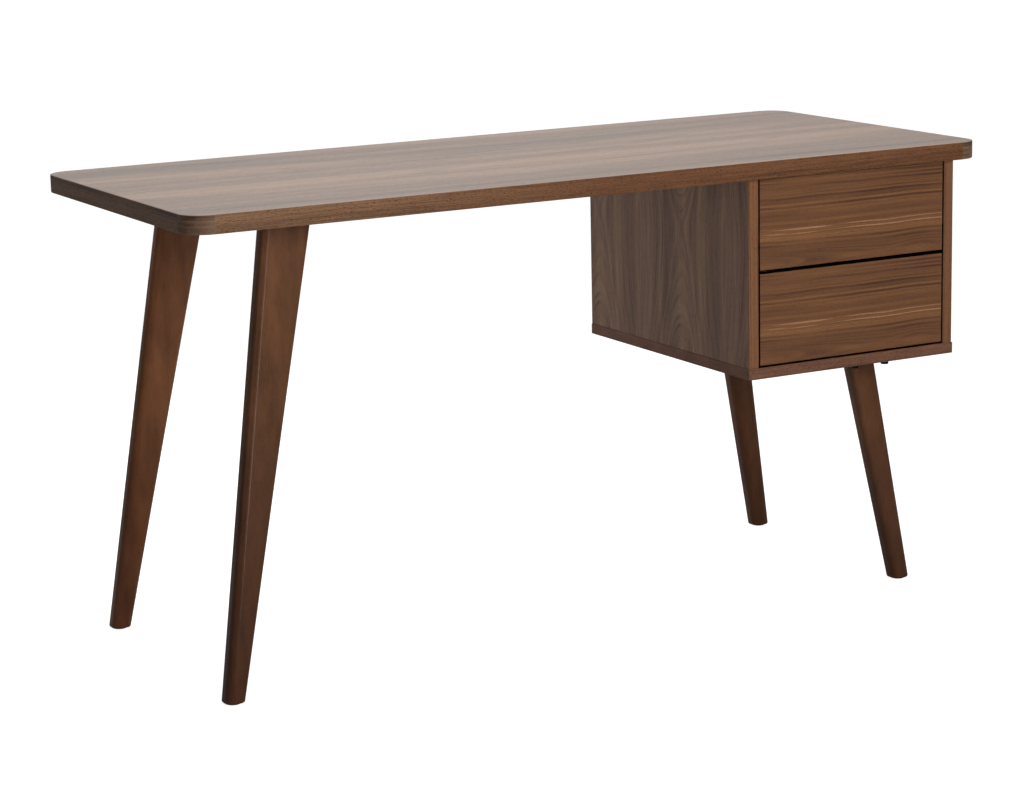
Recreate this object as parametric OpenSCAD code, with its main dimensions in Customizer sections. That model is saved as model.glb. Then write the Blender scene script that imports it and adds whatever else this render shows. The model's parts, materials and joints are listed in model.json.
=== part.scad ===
// Writing desk with a two-drawer cabinet under its right end and four splayed legs.
// Frame: +X to the right, +Y to the back, +Z up; origin at the centre of the desktop's
// footprint, on the floor. Millimetres.

/* [Desktop] */
// Length of the desktop, left to right
desk_w = 1400; // [1200:10:1800]
// Depth of the desktop, front to back
desk_d = 600; // [500:10:800]
// Height of the desktop's upper face above the floor
desk_h = 745; // [620:5:900]
// Thickness of the desktop
top_t = 28; // [18:1:40]
// Radius of the desktop's corners, seen from above
corner_r = 40; // [10:1:80]
// Thickness of the veneer edging on the boards
edging_t = 1.5; // [0.8:0.1:3]

/* [Cabinet] */
// Outside width of the cabinet
cab_w = 400; // [320:5:480]
// Height of the cabinet, from its underside to the desktop
cab_h = 322; // [260:1:400]
// From the desktop's right end to the cabinet's right side
cab_end_inset = 50; // [10:1:120]
// From the desktop's front edge to the cabinet's front
cab_front_inset = 12; // [0:1:60]
// From the desktop's back edge to the cabinet's back
cab_back_inset = 95; // [20:1:110]
// Thickness of the cabinet's boards
board_t = 18; // [15:1:22]
// How far the bottom board stands out past the sides and the front
bottom_lip = 1.5; // [0:0.5:5]
// Thickness of the cabinet's back
back_t = 15; // [12:1:18]
// Width of the two rails under the desktop
rail_w = 60; // [50:1:90]

/* [Drawers] */
// Height of the lower drawer's front
lower_front_h = 148; // [120:1:175]
// Thickness of the drawer fronts
front_t = 18; // [15:1:22]
// Gap beside a drawer front
side_gap = 3; // [1.5:0.5:4]
// Gap below the lower drawer's front
bottom_gap = 3.3; // [1.5:0.1:5]
// Gap between the two drawer fronts
middle_gap = 5.7; // [2:0.1:8]
// Gap above the upper drawer's front
top_gap = 2; // [1:0.5:5]
// Thickness of the sides, front and back of a drawer's box
box_t = 12; // [10:1:15]
// Thickness of a drawer's bottom
box_bottom_t = 5; // [3:1:6]
// From the lower edge of a front to the lower edge of its box
box_rise = 12; // [8:1:20]
// Gap between the upper drawer's box and the rails
rail_clear = 12; // [6:1:20]

/* [Slides] */
// Length of a drawer slide
slide_len = 400; // [300:50:400]
// Height of a slide
slide_h = 45; // [35:1:46]
// Room that a slide takes up beside the box
slide_w = 12.7; // [12:0.1:14]
// How far a drawer is pushed in to release it
press_in = 3; // [2:0.5:4]

/* [Legs] */
// From the desktop's left end to the axis of the long legs, at their top
long_leg_inset = 195; // [150:1:260]
// From the desktop's front or back edge to the axis of the long legs
long_leg_edge = 106; // [80:1:140]
// Width of a long leg at its top
long_leg_w = 80; // [60:1:90]
// From the cabinet's right side to the axis of the short legs, at their top
short_leg_inset = 124.5; // [70:0.5:180]
// From the cabinet's front to the axis of the front short leg
short_leg_front = 94; // [75:1:120]
// From the cabinet's back to the axis of the back short leg
short_leg_back = 17; // [17:1:40]
// Width of a short leg at its top
short_leg_w = 52; // [44:1:60]
// Width of a leg at the floor
foot_w = 33; // [30:1:40]
// Thickness of the legs, front to back
leg_t = 32; // [28:1:34]
// Radius of the legs' long edges
leg_edge_r = 12; // [6:1:13]
// Lean of the legs away from the middle, left or right, in degrees
lean_x = 10.4; // [0:0.1:14]
// Lean of the legs to the front or the back, in degrees
lean_y = 3.1; // [0:0.1:5]

/* [Fittings] */
// Thickness of the leg plates
plate_t = 5; // [3:0.5:6]
// Spacing of the two bolts of a leg plate
bolt_span = 60; // [56:1:66]
// From the leg's axis to the two bolts of its plate
bolt_reach = 38; // [30:1:44]
// Height of the glide under each foot
glide_t = 2; // [1:0.5:4]

/* [Hidden] */
$fn = 48;
eps = 0.01;

// Desktop
under_z = desk_h - top_t;
panel_x = desk_w / 2 - edging_t;
panel_y = desk_d / 2 - edging_t;
straight_x = desk_w / 2 - corner_r;
straight_y = desk_d / 2 - corner_r;

// Cabinet: outside faces, then the room inside
cab_x1 = desk_w / 2 - cab_end_inset;
cab_x0 = cab_x1 - cab_w;
cab_y0 = -desk_d / 2 + cab_front_inset;
cab_y1 = desk_d / 2 - cab_back_inset;
cab_z0 = under_z - cab_h;
cab_z1 = cab_z0 + board_t;
room_x0 = cab_x0 + board_t;
room_x1 = cab_x1 - board_t;

// Drawer fronts and boxes; a drawer is [lower edge of its front, height of its front]
lower_drawer = [cab_z1 + bottom_gap, lower_front_h];
upper_z = lower_drawer[0] + lower_front_h + middle_gap;
upper_drawer = [upper_z, under_z - top_gap - upper_z];
front_x0 = room_x0 + side_gap;
front_x1 = room_x1 - side_gap;
front_back_y = cab_y0 + front_t;
box_x0 = room_x0 + slide_w;
box_x1 = room_x1 - slide_w;
stop_clear = 1;
slide_y0 = front_back_y + press_in + stop_clear;
slide_y1 = slide_y0 + slide_len;
box_y0 = front_back_y;
box_y1 = slide_y1;
box_drop = board_t + rail_clear - top_gap;
function box_z0(d) = d[0] + box_rise;
function box_z1(d) = d[0] + d[1] - box_drop;
function slide_z(d) = (box_z0(d) + box_z1(d)) / 2;

// Grooves that hold a drawer's bottom
groove_depth = box_t / 2;
groove_rise = 10;
groove_clear = 0.25;

// Rails: the front one leaves room for the upper front to be pressed in
rail_z0 = under_z - board_t;
front_rail_y = front_back_y + press_in + stop_clear;
rear_rail_y = cab_y1 - back_t - rail_w;

// Slide channels, measured from the cabinet's side towards the box
sheet_t = 1.2;
channel_clear = 0.4;
outer_flange = 9.5;
middle_web_at = 4.2;
middle_flange_to = slide_w - sheet_t - 0.9;
inner_flange_at = middle_web_at + sheet_t + 1;
middle_h = slide_h - 2 * (sheet_t + channel_clear);
inner_h = middle_h - 2 * (sheet_t + channel_clear);
unit_len = 30;
unit_h = 30;
unit_w = 12;
unit_y0 = box_y1 + press_in + 0.5;
cabinet_screw_y = [30, slide_len / 2, slide_len - 30];
member_screw_y = [60, slide_len - 60];

// Legs: [x, y, height of the board's underside, direction left or right, front or back,
// width at the top, side of the leg that its bolts are on: -1 front, 1 back]
long_x = -desk_w / 2 + long_leg_inset;
long_y = desk_d / 2 - long_leg_edge;
short_x = cab_x1 - short_leg_inset;
LEG_FL = [long_x, -long_y, under_z, -1, -1, long_leg_w, 1];
LEG_BL = [long_x, long_y, under_z, -1, 1, long_leg_w, -1];
LEG_FR = [short_x, cab_y0 + short_leg_front, cab_z0, 1, -1, short_leg_w, -1];
LEG_BR = [short_x, cab_y1 - short_leg_back, cab_z0, 1, 1, short_leg_w, -1];
LEGS = [LEG_FL, LEG_BL, LEG_FR, LEG_BR];
arris = 2;
foot_round = 3;

// Leg plates, their M8 bolts and the M10 hanger bolts
plate_edge = 12;
plate_r = 8;
m8_r = 4;
m8_clear_r = 4.3;
m8_head_r = 6.5;
m8_head_h = 8;
m8_grip = 12;
washer_r = 8;
washer_t = 1.6;
spring_r = 7.2;
spring_t = 2.1;
spring_slit = 1.6;
m8_insert_r = 6;
m8_insert_h = 13;
hanger_r = 5;
hanger_clear_r = 5.3;
hanger_in_leg = 45;
hanger_insert_r = 8;
hanger_insert_h = 15;
glide_r = 11;
nail_r = 1.25;
nail_len = 15;

// Cabinet fixings
dowel_r = 4;
dowel_len = 30;
dowel_in_board = 12;
fixing_inset = 40;
confirmat_head_r = 5;
confirmat_head_h = 2.5;
confirmat_r = 2.5;
confirmat_len = 50;
cam_r = 7.5;
cam_h = 12.5;
cam_inset = 34;
cam_bolt_r = 3;
cam_bolt_in_side = 11;
cam_bolt_in_nut = 5;
rail_dowel_off = 18;
top_screw_r = 2.25;
top_screw_len = 38;
top_screw_head_r = 4.5;
top_screw_head_h = 2.5;
top_screw_inset = 60;

WALNUT = "#8a6244";
WALNUT_DARK = "#5b3a2a";
EDGE_WALNUT = "#7a5238";
BIRCH = "#d8c49c";
STEEL = "silver";
BLACK = "#26272a";

// ---- Helpers ----

// A box between two corners
module block(low, high) {
    translate(low) cube(high - low);
}

// A cylinder from a point along an axis given by its letter
module rod(at, r, len, axis) {
    turn = axis == "x" ? [0, 90, 0] : axis == "y" ? [-90, 0, 0] : [0, 0, 0];
    translate(at) rotate(turn) cylinder(h = len, r = r);
}

// Rectangle with round corners, centred, seen from above
module round_rect(half_x, half_y, r) {
    square([2 * half_x, 2 * (half_y - r)], center = true);
    square([2 * (half_x - r), 2 * half_y], center = true);
    for (sx = [-1, 1], sy = [-1, 1])
        translate([sx * (half_x - r), sy * (half_y - r)]) circle(r = r, $fn = 96);
}

// ---- Desktop ----

module desktop_panel() {
    color(WALNUT) difference() {
        translate([0, 0, under_z]) linear_extrude(top_t)
            round_rect(panel_x, panel_y, corner_r - edging_t);
        desktop_screw_set();
        long_leg_inserts(true);
    }
}

module front_edging() {
    color(EDGE_WALNUT)
        block([-straight_x, -desk_d / 2, under_z], [straight_x, -panel_y, desk_h]);
}

module back_edging() {
    color(EDGE_WALNUT)
        block([-straight_x, panel_y, under_z], [straight_x, desk_d / 2, desk_h]);
}

module left_end_edging() {
    color(EDGE_WALNUT)
        block([-desk_w / 2, -straight_y, under_z], [-panel_x, straight_y, desk_h]);
}

module right_end_edging() {
    color(EDGE_WALNUT)
        block([panel_x, -straight_y, under_z], [desk_w / 2, straight_y, desk_h]);
}

module corner_edgings() {
    color(WALNUT_DARK)
        for (sx = [0, 1], sy = [0, 1])
            mirror([sx, 0, 0]) mirror([0, sy, 0])
                translate([straight_x, straight_y, under_z])
                    rotate_extrude(angle = 90, $fn = 96)
                        translate([corner_r - edging_t, 0]) square([edging_t, top_t]);
}

// ---- Cabinet ----

module cabinet_side(x0) {
    difference() {
        block([x0, cab_y0 + edging_t, cab_z1], [x0 + board_t, cab_y1, under_z]);
        dowel_set();
        confirmat_set();
        cam_bolt_set();
        cabinet_slide_screws();
    }
}

module cabinet_left_side() {
    color(WALNUT) cabinet_side(cab_x0);
}

module cabinet_right_side() {
    color(WALNUT) cabinet_side(room_x1);
}

module cabinet_bottom() {
    color(WALNUT_DARK) difference() {
        block([cab_x0 - bottom_lip, cab_y0 - bottom_lip + edging_t, cab_z0],
            [cab_x1 + bottom_lip, cab_y1, cab_z1]);
        dowel_set();
        confirmat_set();
        short_leg_inserts(true);
    }
}

module cabinet_back() {
    color(WALNUT) difference() {
        block([room_x0, cab_y1 - back_t, cab_z1], [room_x1, cab_y1, under_z]);
        dowel_set();
        confirmat_set();
    }
}

module rail(y0) {
    difference() {
        block([room_x0, y0, rail_z0], [room_x1, y0 + rail_w, under_z]);
        dowel_set();
        cam_bolt_set();
        cam_nut_set();
        desktop_screw_set();
    }
}

module front_rail() {
    color(BIRCH) rail(front_rail_y);
}

module rear_rail() {
    color(BIRCH) rail(rear_rail_y);
}

// Strips of veneer on the front edges of the two sides and of the bottom
module cabinet_edgings() {
    color(EDGE_WALNUT) {
        for (x = [cab_x0, room_x1])
            block([x, cab_y0, cab_z1], [x + board_t, cab_y0 + edging_t, under_z]);
        block([cab_x0 - bottom_lip, cab_y0 - bottom_lip, cab_z0],
            [cab_x1 + bottom_lip, cab_y0 - bottom_lip + edging_t, cab_z1]);
    }
}

// ---- Cabinet fixings: each set also cuts its own holes in the boards ----

side_mid_x = [cab_x0 + board_t / 2, cab_x1 - board_t / 2];
rail_mid_y = [front_rail_y + rail_w / 2, rear_rail_y + rail_w / 2];

module dowel_set() {
    // Between the sides and the bottom
    for (x = side_mid_x, y = [cab_y0 + fixing_inset, (cab_y0 + cab_y1) / 2,
        cab_y1 - fixing_inset])
        rod([x, y, cab_z1 - dowel_in_board], dowel_r, dowel_len, "z");
    // Between the rails and the sides
    for (y = rail_mid_y, off = [-rail_dowel_off, rail_dowel_off])
        across_dowels(y + off, under_z - board_t / 2);
    // Between the back and the sides
    for (z = [cab_z1 + fixing_inset, (cab_z1 + rail_z0) / 2, rail_z0 - fixing_inset])
        across_dowels(cab_y1 - back_t / 2, z);
}

// One dowel through each side's inner face
module across_dowels(y, z) {
    rod([room_x0 - dowel_in_board, y, z], dowel_r, dowel_len, "x");
    rod([room_x1 + dowel_in_board - dowel_len, y, z], dowel_r, dowel_len, "x");
}

module confirmat_at(x, y) {
    rod([x, y, cab_z0], confirmat_head_r, confirmat_head_h, "z");
    rod([x, y, cab_z0], confirmat_r, confirmat_len, "z");
}

module confirmat_set() {
    for (x = side_mid_x, y = [cab_y0 + 2.5 * fixing_inset, cab_y1 - 2.5 * fixing_inset])
        confirmat_at(x, y);
    for (x = [room_x0 + fixing_inset, room_x1 - fixing_inset])
        confirmat_at(x, cab_y1 - back_t / 2);
}

module cam_nut_set() {
    for (x = [room_x0 + cam_inset, room_x1 - cam_inset], y = rail_mid_y)
        rod([x, y, rail_z0], cam_r, cam_h, "z");
}

module cam_bolt_set() {
    bolt_len = cam_bolt_in_side + cam_inset - cam_r + cam_bolt_in_nut;
    for (y = rail_mid_y,
        x = [room_x0 - cam_bolt_in_side, room_x1 + cam_bolt_in_side - bolt_len])
        rod([x, y, under_z - board_t / 2], cam_bolt_r, bolt_len, "x");
}

module desktop_screw_set() {
    for (x = [room_x0 + top_screw_inset, room_x1 - top_screw_inset], y = rail_mid_y) {
        rod([x, y, rail_z0], top_screw_r, top_screw_len, "z");
        rod([x, y, rail_z0 - top_screw_head_h], top_screw_head_r, top_screw_head_h, "z");
    }
}

module dowels() {
    color(BIRCH) dowel_set();
}

module confirmat_screws() {
    color(STEEL) confirmat_set();
}

module cam_nuts() {
    color(STEEL) difference() {
        cam_nut_set();
        cam_bolt_set();
    }
}

module cam_bolts() {
    color(STEEL) cam_bolt_set();
}

module desktop_screws() {
    color(STEEL) desktop_screw_set();
}

// ---- Legs ----

// Place of a leg's axis at height z
function axis_at(leg, z) = [leg[0] + leg[3] * (leg[2] - z) * tan(lean_x),
    leg[1] + leg[4] * (leg[2] - z) * tan(lean_y)];

// A thin slice of a leg: a rectangle w wide with its corners rounded
module leg_slice(leg, z, w, t, r) {
    at = axis_at(leg, z);
    for (sx = [-1, 1], sy = [-1, 1])
        translate([at[0] + sx * (w / 2 - r), at[1] + sy * (t / 2 - r), z])
            cylinder(h = eps, r = r, $fn = 32);
}

module leg(leg) {
    foot = axis_at(leg, glide_t);
    top_z = leg[2] - plate_t;
    color(WALNUT_DARK) difference() {
        hull() {
            leg_slice(leg, glide_t, foot_w - 2 * arris, leg_t - 2 * arris,
                leg_edge_r - arris);
            leg_slice(leg, glide_t + foot_round, foot_w, leg_t, leg_edge_r);
            leg_slice(leg, top_z - eps, leg[5], leg_t, leg_edge_r);
        }
        rod([leg[0], leg[1], top_z - hanger_in_leg], hanger_r, hanger_in_leg + 1, "z");
        rod([foot[0], foot[1], 0], nail_r, glide_t + nail_len, "z");
    }
}

module leg_front_left() {
    leg(LEG_FL);
}

module leg_back_left() {
    leg(LEG_BL);
}

module leg_front_right() {
    leg(LEG_FR);
}

module leg_back_right() {
    leg(LEG_BR);
}

// Nylon glide with its nail, under each foot
module foot_glides() {
    color(BLACK)
        for (leg = LEGS) {
            foot = axis_at(leg, glide_t);
            rod([foot[0], foot[1], 0], glide_r, glide_t, "z");
            rod([foot[0], foot[1], 0], nail_r, glide_t + nail_len, "z");
        }
}

// ---- Leg plates and their bolts ----

function bolt_spots(leg) = [for (s = [-1, 1])
    [leg[0] + s * bolt_span / 2, leg[1] + leg[6] * bolt_reach]];

module leg_plate(leg) {
    half_x = bolt_span / 2 + plate_edge;
    reach = bolt_reach + plate_edge;
    behind = leg_t / 2;
    color(BLACK) difference() {
        translate([leg[0], leg[1] + leg[6] * (reach - behind) / 2, leg[2] - plate_t])
            linear_extrude(plate_t) round_rect(half_x, (reach + behind) / 2, plate_r);
        rod([leg[0], leg[1], leg[2] - plate_t - 1], hanger_clear_r, plate_t + 2, "z");
        for (b = bolt_spots(leg))
            rod([b[0], b[1], leg[2] - plate_t - 1], m8_clear_r, plate_t + 2, "z");
    }
}

module plate_front_left() {
    leg_plate(LEG_FL);
}

module plate_back_left() {
    leg_plate(LEG_BL);
}

module plate_front_right() {
    leg_plate(LEG_FR);
}

module plate_back_right() {
    leg_plate(LEG_BR);
}

head_drop = plate_t + washer_t + spring_t;
socket_r = 3.4;
socket_depth = 4;

module plate_bolts() {
    color(BLACK)
        for (leg = LEGS, b = bolt_spots(leg)) difference() {
            union() {
                rod([b[0], b[1], leg[2] - head_drop - m8_head_h], m8_head_r, m8_head_h, "z");
                rod([b[0], b[1], leg[2] - head_drop - eps], m8_r,
                    head_drop + m8_grip + eps, "z");
            }
            translate([b[0], b[1], leg[2] - head_drop - m8_head_h - 1])
                cylinder(h = socket_depth + 1, r = socket_r, $fn = 6);
        }
}

module plate_washers() {
    color(STEEL)
        for (leg = LEGS, b = bolt_spots(leg)) {
            translate([b[0], b[1], leg[2] - plate_t - washer_t]) difference() {
                cylinder(h = washer_t, r = washer_r);
                translate([0, 0, -1]) cylinder(h = washer_t + 2, r = m8_clear_r);
            }
            translate([b[0], b[1], leg[2] - head_drop]) difference() {
                cylinder(h = spring_t, r = spring_r);
                translate([0, 0, -1]) cylinder(h = spring_t + 2, r = m8_clear_r);
                translate([0, -spring_slit / 2, -1]) cube([washer_r, spring_slit,
                    spring_t + 2]);
            }
        }
}

module hanger_bolts() {
    color(STEEL)
        for (leg = LEGS)
            rod([leg[0], leg[1], leg[2] - plate_t - hanger_in_leg], hanger_r,
                plate_t + hanger_in_leg + hanger_insert_h - 1, "z");
}

// Threaded inserts of one leg; filled, they are the holes that they sit in
module leg_inserts(leg, filled) {
    for (b = bolt_spots(leg))
        insert([b[0], b[1], leg[2]], m8_insert_r, m8_insert_h, m8_r, filled);
    insert([leg[0], leg[1], leg[2]], hanger_insert_r, hanger_insert_h, hanger_r, filled);
}

module insert(at, r, h, bore_r, filled) {
    translate(at) difference() {
        cylinder(h = h, r = r);
        if (!filled) translate([0, 0, -1]) cylinder(h = h, r = bore_r);
    }
}

module long_leg_inserts(filled) {
    leg_inserts(LEG_FL, filled);
    leg_inserts(LEG_BL, filled);
}

module short_leg_inserts(filled) {
    leg_inserts(LEG_FR, filled);
    leg_inserts(LEG_BR, filled);
}

module panel_inserts() {
    color("#b08d4a") {
        long_leg_inserts(false);
        short_leg_inserts(false);
    }
}

// ---- Slides: three channels, one inside the other ----

// Puts a piece that is drawn from the left side (x = 0, growing to the right) at the
// left or the right side of the cabinet's room
module at_side(right) {
    if (right) translate([room_x1, 0, 0]) mirror([1, 0, 0]) children();
    else translate([room_x0, 0, 0]) children();
}

// A channel along Y: web from web_at, flanges to flange_to
module channel(z, h, web_at, web_to, flange_from, flange_to) {
    block([web_at, slide_y0, z - h / 2], [web_to, slide_y1, z + h / 2]);
    for (s = [-1, 1])
        translate([0, 0, z + s * (h - sheet_t) / 2])
            block([flange_from, slide_y0, -sheet_t / 2], [flange_to, slide_y1, sheet_t / 2]);
}

module cabinet_member(right, d) {
    color(STEEL) difference() {
        at_side(right) channel(slide_z(d), slide_h, 0, sheet_t, 0, outer_flange);
        cabinet_slide_screws();
    }
}

module upper_left_slide() {
    cabinet_member(false, upper_drawer);
}

module upper_right_slide() {
    cabinet_member(true, upper_drawer);
}

module lower_left_slide() {
    cabinet_member(false, lower_drawer);
}

module lower_right_slide() {
    cabinet_member(true, lower_drawer);
}

module middle_members(d) {
    color(STEEL)
        for (right = [false, true])
            at_side(right) channel(slide_z(d), middle_h, middle_web_at,
                middle_web_at + sheet_t, middle_web_at, middle_flange_to);
}

module upper_middle_members() {
    middle_members(upper_drawer);
}

module lower_middle_members() {
    middle_members(lower_drawer);
}

module drawer_members(d) {
    color(STEEL)
        difference() {
            for (right = [false, true])
                at_side(right) channel(slide_z(d), inner_h, slide_w - sheet_t, slide_w,
                    inner_flange_at, slide_w);
            member_screws(d);
        }
}

module upper_drawer_members() {
    drawer_members(upper_drawer);
}

module lower_drawer_members() {
    drawer_members(lower_drawer);
}

// Screws of the outer channels and of the release units, in the cabinet's sides
screw_r = 1.75;
screw_in_side = 13;
screw_head_r = 3.5;
screw_head_h = 2.2;

module side_screw(x, y, z) {
    rod([x - screw_in_side - sheet_t, y, z], screw_r, screw_in_side + sheet_t + eps, "x");
    rod([x, y, z], screw_head_r, screw_head_h, "x");
}

module cabinet_slide_screws() {
    for (right = [false, true], d = [upper_drawer, lower_drawer])
        at_side(right) {
            for (y = cabinet_screw_y) side_screw(sheet_t, slide_y0 + y, slide_z(d));
            side_screw(unit_w, unit_y0 + unit_len / 2, slide_z(d));
        }
}

module slide_screws() {
    color(STEEL) cabinet_slide_screws();
}

// Screws of the inner channels, in the box sides
member_screw_len = 9;
member_head_r = 3.2;
member_head_h = 1.8;

module member_screws(d) {
    for (right = [false, true], y = member_screw_y)
        at_side(right) {
            rod([slide_w - sheet_t, slide_y0 + y, slide_z(d)], screw_r,
                sheet_t + member_screw_len, "x");
            rod([slide_w - sheet_t - member_head_h, slide_y0 + y, slide_z(d)],
                member_head_r, member_head_h + eps, "x");
        }
}

module upper_member_screws() {
    color(STEEL) member_screws(upper_drawer);
}

module lower_member_screws() {
    color(STEEL) member_screws(lower_drawer);
}

// Sealed push-to-open units behind the slides
module release_units() {
    color(BLACK) difference() {
        for (right = [false, true], d = [upper_drawer, lower_drawer])
            at_side(right) block([0, unit_y0, slide_z(d) - unit_h / 2],
                [unit_w, unit_y0 + unit_len, slide_z(d) + unit_h / 2]);
        cabinet_slide_screws();
    }
}

// ---- Drawers ----

// Screws of a box: four hold the front on, two at each corner hold the box together
front_screw_len = 26;
front_screw_inset = 50;
corner_screw_len = 32;
corner_screw_edge = 10;
head_clear = 1;

module box_screws(d) {
    fifth = (box_z1(d) - box_z0(d)) / 5;
    above_bottom = box_z0(d) + groove_rise + box_bottom_t + screw_head_r + head_clear;
    for (x = [box_x0 + front_screw_inset, box_x1 - front_screw_inset],
        z = [max(slide_z(d) - fifth, above_bottom), slide_z(d) + fifth]) {
        rod([x, box_y0 + box_t - front_screw_len, z], screw_r, front_screw_len + eps, "y");
        rod([x, box_y0 + box_t, z], screw_head_r, screw_head_h, "y");
    }
    for (right = [false, true], y = [box_y0 + box_t / 2, box_y1 - box_t / 2],
        z = [box_z0(d) + groove_rise / 2, box_z1(d) - corner_screw_edge])
        at_side(right) {
            rod([slide_w, y, z], screw_r, corner_screw_len, "x");
            rod([slide_w, y, z], screw_head_r, screw_head_h, "x");
        }
}

// A drawer's bottom; grown, it is the groove that it sits in
module bottom_sheet(d, grow) {
    reach = groove_depth - groove_clear + grow;
    z0 = box_z0(d) + groove_rise;
    block([box_x0 + box_t - reach, box_y0 + box_t - reach, z0],
        [box_x1 - box_t + reach, box_y1 - box_t + reach, z0 + box_bottom_t]);
}

module drawer_front(d) {
    color(WALNUT) difference() {
        block([front_x0, cab_y0, d[0]], [front_x1, front_back_y, d[0] + d[1]]);
        box_screws(d);
    }
}

// A board of a drawer's box, with its groove and its screw holes
module box_board(d, low, high) {
    color(BIRCH) difference() {
        block(low, high);
        bottom_sheet(d, groove_clear);
        box_screws(d);
        member_screws(d);
    }
}

module box_front(d) {
    box_board(d, [box_x0 + box_t, box_y0, box_z0(d)],
        [box_x1 - box_t, box_y0 + box_t, box_z1(d)]);
}

module box_left(d) {
    box_board(d, [box_x0, box_y0, box_z0(d)], [box_x0 + box_t, box_y1, box_z1(d)]);
}

module box_right(d) {
    box_board(d, [box_x1 - box_t, box_y0, box_z0(d)], [box_x1, box_y1, box_z1(d)]);
}

module box_back(d) {
    box_board(d, [box_x0 + box_t, box_y1 - box_t, box_z0(d)],
        [box_x1 - box_t, box_y1, box_z1(d)]);
}

module box_bottom(d) {
    color(BIRCH) bottom_sheet(d, 0);
}

module upper_drawer_front() {
    drawer_front(upper_drawer);
}

module upper_box_front() {
    box_front(upper_drawer);
}

module upper_box_left() {
    box_left(upper_drawer);
}

module upper_box_right() {
    box_right(upper_drawer);
}

module upper_box_back() {
    box_back(upper_drawer);
}

module upper_box_bottom() {
    box_bottom(upper_drawer);
}

module upper_box_screws() {
    color(STEEL) box_screws(upper_drawer);
}

module lower_drawer_front() {
    drawer_front(lower_drawer);
}

module lower_box_front() {
    box_front(lower_drawer);
}

module lower_box_left() {
    box_left(lower_drawer);
}

module lower_box_right() {
    box_right(lower_drawer);
}

module lower_box_back() {
    box_back(lower_drawer);
}

module lower_box_bottom() {
    box_bottom(lower_drawer);
}

module lower_box_screws() {
    color(STEEL) box_screws(lower_drawer);
}

desktop_panel();
front_edging();
back_edging();
left_end_edging();
right_end_edging();
corner_edgings();
cabinet_left_side();
cabinet_right_side();
cabinet_bottom();
cabinet_back();
front_rail();
rear_rail();
cabinet_edgings();
dowels();
confirmat_screws();
cam_nuts();
cam_bolts();
desktop_screws();
leg_front_left();
leg_back_left();
leg_front_right();
leg_back_right();
plate_front_left();
plate_back_left();
plate_front_right();
plate_back_right();
plate_bolts();
plate_washers();
hanger_bolts();
panel_inserts();
foot_glides();
upper_left_slide();
upper_right_slide();
lower_left_slide();
lower_right_slide();
slide_screws();
release_units();
upper_middle_members();
lower_middle_members();
upper_drawer_front();
upper_box_front();
upper_box_left();
upper_box_right();
upper_box_back();
upper_box_bottom();
upper_drawer_members();
upper_box_screws();
upper_member_screws();
lower_drawer_front();
lower_box_front();
lower_box_left();
lower_box_right();
lower_box_back();
lower_box_bottom();
lower_drawer_members();
lower_box_screws();
lower_member_screws();
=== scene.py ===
# %% [markdown]
# # A walnut writing desk with two drawers
# The desk is a rounded board on four leaning legs. A cabinet hangs under its right end, and
# two drawers without handles slide out of it. The frame file holds every part at its real
# size, so this lesson makes what the frame can't: soft edges on the boards, round-edged legs,
# veneer with its figure, lacquer, plywood edges, screws with recesses, and studio light.

import json
import math

import bmesh
import bpy
import numpy as np
from mathutils import Matrix, Vector


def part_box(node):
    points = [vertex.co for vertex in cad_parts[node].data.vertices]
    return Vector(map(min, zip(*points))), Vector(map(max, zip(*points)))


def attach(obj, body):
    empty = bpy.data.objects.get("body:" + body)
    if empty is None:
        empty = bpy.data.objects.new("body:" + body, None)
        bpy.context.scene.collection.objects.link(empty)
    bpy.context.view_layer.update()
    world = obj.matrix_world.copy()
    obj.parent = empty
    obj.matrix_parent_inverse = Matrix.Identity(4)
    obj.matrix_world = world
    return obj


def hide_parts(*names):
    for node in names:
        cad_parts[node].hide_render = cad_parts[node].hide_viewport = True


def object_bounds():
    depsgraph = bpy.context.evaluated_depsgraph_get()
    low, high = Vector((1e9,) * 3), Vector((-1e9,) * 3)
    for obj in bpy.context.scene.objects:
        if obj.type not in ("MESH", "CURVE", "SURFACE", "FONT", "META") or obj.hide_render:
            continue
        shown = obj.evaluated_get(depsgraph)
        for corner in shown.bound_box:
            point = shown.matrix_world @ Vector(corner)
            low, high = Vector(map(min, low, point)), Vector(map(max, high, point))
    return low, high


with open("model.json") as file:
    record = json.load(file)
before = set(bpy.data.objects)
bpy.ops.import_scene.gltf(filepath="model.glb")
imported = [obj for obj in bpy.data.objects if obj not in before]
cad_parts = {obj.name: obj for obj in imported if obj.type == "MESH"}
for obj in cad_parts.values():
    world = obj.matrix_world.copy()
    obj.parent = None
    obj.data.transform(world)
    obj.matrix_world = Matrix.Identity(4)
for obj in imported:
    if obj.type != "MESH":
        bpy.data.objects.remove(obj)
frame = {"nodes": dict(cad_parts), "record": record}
cad_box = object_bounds()
MM = 0.001


def corners(node):
    """The low and the high corner of a node's box, in metres."""
    return [np.array(corner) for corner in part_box(node)]


# %% [markdown]
# ## The camera
# The desk is seen from its front left, a little from above, through a long lens from four and
# a half metres away, so that its long edges run nearly parallel. The camera is also rolled by
# about a degree. The matrix turns it about Z, then lifts it, then rolls it.

# %% Camera
CAMERA_AT = Vector((-2.1862, -3.9612, 1.3163))
CAMERA_TURN = math.radians(-28.48)
CAMERA_LIFT = math.radians(12.13)
CAMERA_ROLL = math.radians(-1.30)
LENS_MM = 100.4

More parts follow.
